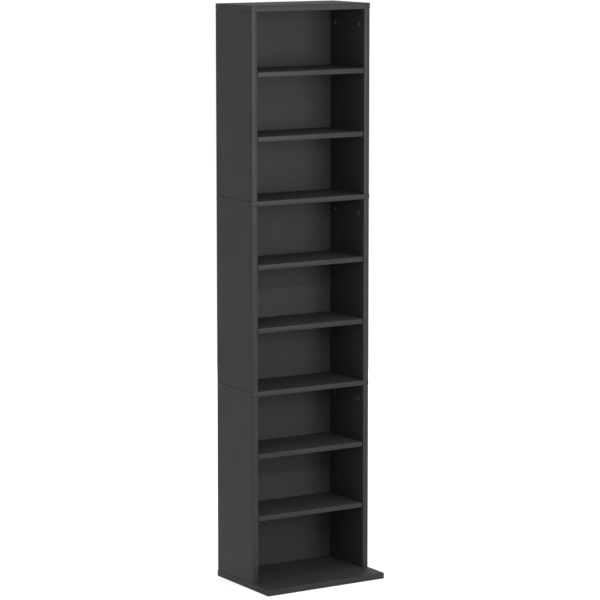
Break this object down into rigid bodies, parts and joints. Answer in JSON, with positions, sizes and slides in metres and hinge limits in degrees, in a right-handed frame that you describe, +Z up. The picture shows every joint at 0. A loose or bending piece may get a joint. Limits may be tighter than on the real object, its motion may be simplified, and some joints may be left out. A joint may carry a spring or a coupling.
{
  "type": "cd dvd storage tower",
  "caption": "Tall narrow open-front storage tower for discs: stacked cases parted by full-width boards, loose shelves on pins, cam locks, and a base board that reaches forward.",
  "frame": {"origin": "centre of the base board's footprint, on the floor", "axes": "+Z up, -Y out of the open front, +X to the right as seen from the front"},
  "size_m": [0.34, 0.245, 1.435],
  "materials": {
    "board": "anthracite melamine-faced chipboard, matt, with matching edge bands",
    "shelf": "anthracite melamine-faced chipboard, matt, with matching edge bands",
    "back": "thin hardboard, anthracite foil to the front, bare brown behind",
    "pin": "turned steel, oil-blackened",
    "zinc": "zinc die casting",
    "steel": "nickel-plated steel"
  },
  "bodies": {
    "carcass": {"base_board": "board", "side_panel_lower_left": "board", "side_panel_lower_right": "board", "back_panel_lower_bottom": "back", "back_panel_lower_top": "back", "shelf_pin_1_left_front": "pin", "shelf_pin_1_left_rear": "pin", "shelf_pin_1_right_front": "pin", "shelf_pin_1_right_rear": "pin", "shelf_pin_2_left_front": "pin", "shelf_pin_2_left_rear": "pin", "shelf_pin_2_right_front": "pin", "shelf_pin_2_right_rear": "pin", "middle_board_lower": "board", "side_panel_middle_left": "board", "side_panel_middle_right": "board", "back_panel_middle_bottom": "back", "back_panel_middle_top": "back", "shelf_pin_3_left_front": "pin", "shelf_pin_3_left_rear": "pin", "shelf_pin_3_right_front": "pin", "shelf_pin_3_right_rear": "pin", "shelf_pin_4_left_front": "pin", "shelf_pin_4_left_rear": "pin", "shelf_pin_4_right_front": "pin", "shelf_pin_4_right_rear": "pin", "middle_board_middle": "board", "side_panel_upper_left": "board", "side_panel_upper_right": "board", "back_panel_upper_bottom": "back", "back_panel_upper_top": "back", "shelf_pin_5_left_front": "pin", "shelf_pin_5_left_rear": "pin", "shelf_pin_5_right_front": "pin", "shelf_pin_5_right_rear": "pin", "shelf_pin_6_left_front": "pin", "shelf_pin_6_left_rear": "pin", "shelf_pin_6_right_front": "pin", "shelf_pin_6_right_rear": "pin", "top_board": "board"},
    "cam_lower_left_front": {"cam_lock_lower_left_front": "zinc"},
    "cam_lower_left_rear": {"cam_lock_lower_left_rear": "zinc"},
    "cam_lower_right_front": {"cam_lock_lower_right_front": "zinc"},
    "cam_lower_right_rear": {"cam_lock_lower_right_rear": "zinc"},
    "loose_shelf_1": {"shelf_1": "shelf"},
    "loose_shelf_2": {"shelf_2": "shelf"},
    "cam_middle_left_front": {"cam_lock_middle_left_front": "zinc"},
    "cam_middle_left_rear": {"cam_lock_middle_left_rear": "zinc"},
    "cam_middle_right_front": {"cam_lock_middle_right_front": "zinc"},
    "cam_middle_right_rear": {"cam_lock_middle_right_rear": "zinc"},
    "loose_shelf_3": {"shelf_3": "shelf"},
    "loose_shelf_4": {"shelf_4": "shelf"},
    "cam_upper_left_front": {"cam_lock_upper_left_front": "zinc"},
    "cam_upper_left_rear": {"cam_lock_upper_left_rear": "zinc"},
    "cam_upper_right_front": {"cam_lock_upper_right_front": "zinc"},
    "cam_upper_right_rear": {"cam_lock_upper_right_rear": "zinc"},
    "loose_shelf_5": {"shelf_5": "shelf"},
    "loose_shelf_6": {"shelf_6": "shelf"}
  },
  "joints": [
    {"name": "cam_lower_left_front_turn", "type": "hinge", "parent": "carcass", "child": "cam_lower_left_front", "pos_m": [-0.1615, -0.0245, 0.446], "axis": [1, 0, 0], "range_deg": [0, 180]},
    {"name": "cam_lower_left_rear_turn", "type": "hinge", "parent": "carcass", "child": "cam_lower_left_rear", "pos_m": [-0.1615, 0.0835, 0.446], "axis": [1, 0, 0], "range_deg": [0, 180]},
    {"name": "cam_lower_right_front_turn", "type": "hinge", "parent": "carcass", "child": "cam_lower_right_front", "pos_m": [0.1615, -0.0245, 0.446], "axis": [-1, 0, 0], "range_deg": [0, 180]},
    {"name": "cam_lower_right_rear_turn", "type": "hinge", "parent": "carcass", "child": "cam_lower_right_rear", "pos_m": [0.1615, 0.0835, 0.446], "axis": [-1, 0, 0], "range_deg": [0, 180]},
    {"name": "shelf_1_draw", "type": "slide", "parent": "carcass", "child": "loose_shelf_1", "axis": [0, -1, 0], "range_m": [0, 0.16]},
    {"name": "shelf_2_draw", "type": "slide", "parent": "carcass", "child": "loose_shelf_2", "axis": [0, -1, 0], "range_m": [0, 0.16]},
    {"name": "cam_middle_left_front_turn", "type": "hinge", "parent": "carcass", "child": "cam_middle_left_front", "pos_m": [-0.1615, -0.0245, 0.914], "axis": [1, 0, 0], "range_deg": [0, 180]},
    {"name": "cam_middle_left_rear_turn", "type": "hinge", "parent": "carcass", "child": "cam_middle_left_rear", "pos_m": [-0.1615, 0.0835, 0.914], "axis": [1, 0, 0], "range_deg": [0, 180]},
    {"name": "cam_middle_right_front_turn", "type": "hinge", "parent": "carcass", "child": "cam_middle_right_front", "pos_m": [0.1615, -0.0245, 0.914], "axis": [-1, 0, 0], "range_deg": [0, 180]},
    {"name": "cam_middle_right_rear_turn", "type": "hinge", "parent": "carcass", "child": "cam_middle_right_rear", "pos_m": [0.1615, 0.0835, 0.914], "axis": [-1, 0, 0], "range_deg": [0, 180]},
    {"name": "shelf_3_draw", "type": "slide", "parent": "carcass", "child": "loose_shelf_3", "axis": [0, -1, 0], "range_m": [0, 0.16]},
    {"name": "shelf_4_draw", "type": "slide", "parent": "carcass", "child": "loose_shelf_4", "axis": [0, -1, 0], "range_m": [0, 0.16]},
    {"name": "cam_upper_left_front_turn", "type": "hinge", "parent": "carcass", "child": "cam_upper_left_front", "pos_m": [-0.1615, -0.0245, 1.383], "axis": [1, 0, 0], "range_deg": [0, 180]},
    {"name": "cam_upper_left_rear_turn", "type": "hinge", "parent": "carcass", "child": "cam_upper_left_rear", "pos_m": [-0.1615, 0.0835, 1.383], "axis": [1, 0, 0], "range_deg": [0, 180]},
    {"name": "cam_upper_right_front_turn", "type": "hinge", "parent": "carcass", "child": "cam_upper_right_front", "pos_m": [0.1615, -0.0245, 1.383], "axis": [-1, 0, 0], "range_deg": [0, 180]},
    {"name": "cam_upper_right_rear_turn", "type": "hinge", "parent": "carcass", "child": "cam_upper_right_rear", "pos_m": [0.1615, 0.0835, 1.383], "axis": [-1, 0, 0], "range_deg": [0, 180]},
    {"name": "shelf_5_draw", "type": "slide", "parent": "carcass", "child": "loose_shelf_5", "axis": [0, -1, 0], "range_m": [0, 0.16]},
    {"name": "shelf_6_draw", "type": "slide", "parent": "carcass", "child": "loose_shelf_6", "axis": [0, -1, 0], "range_m": [0, 0.16]}
  ]
}
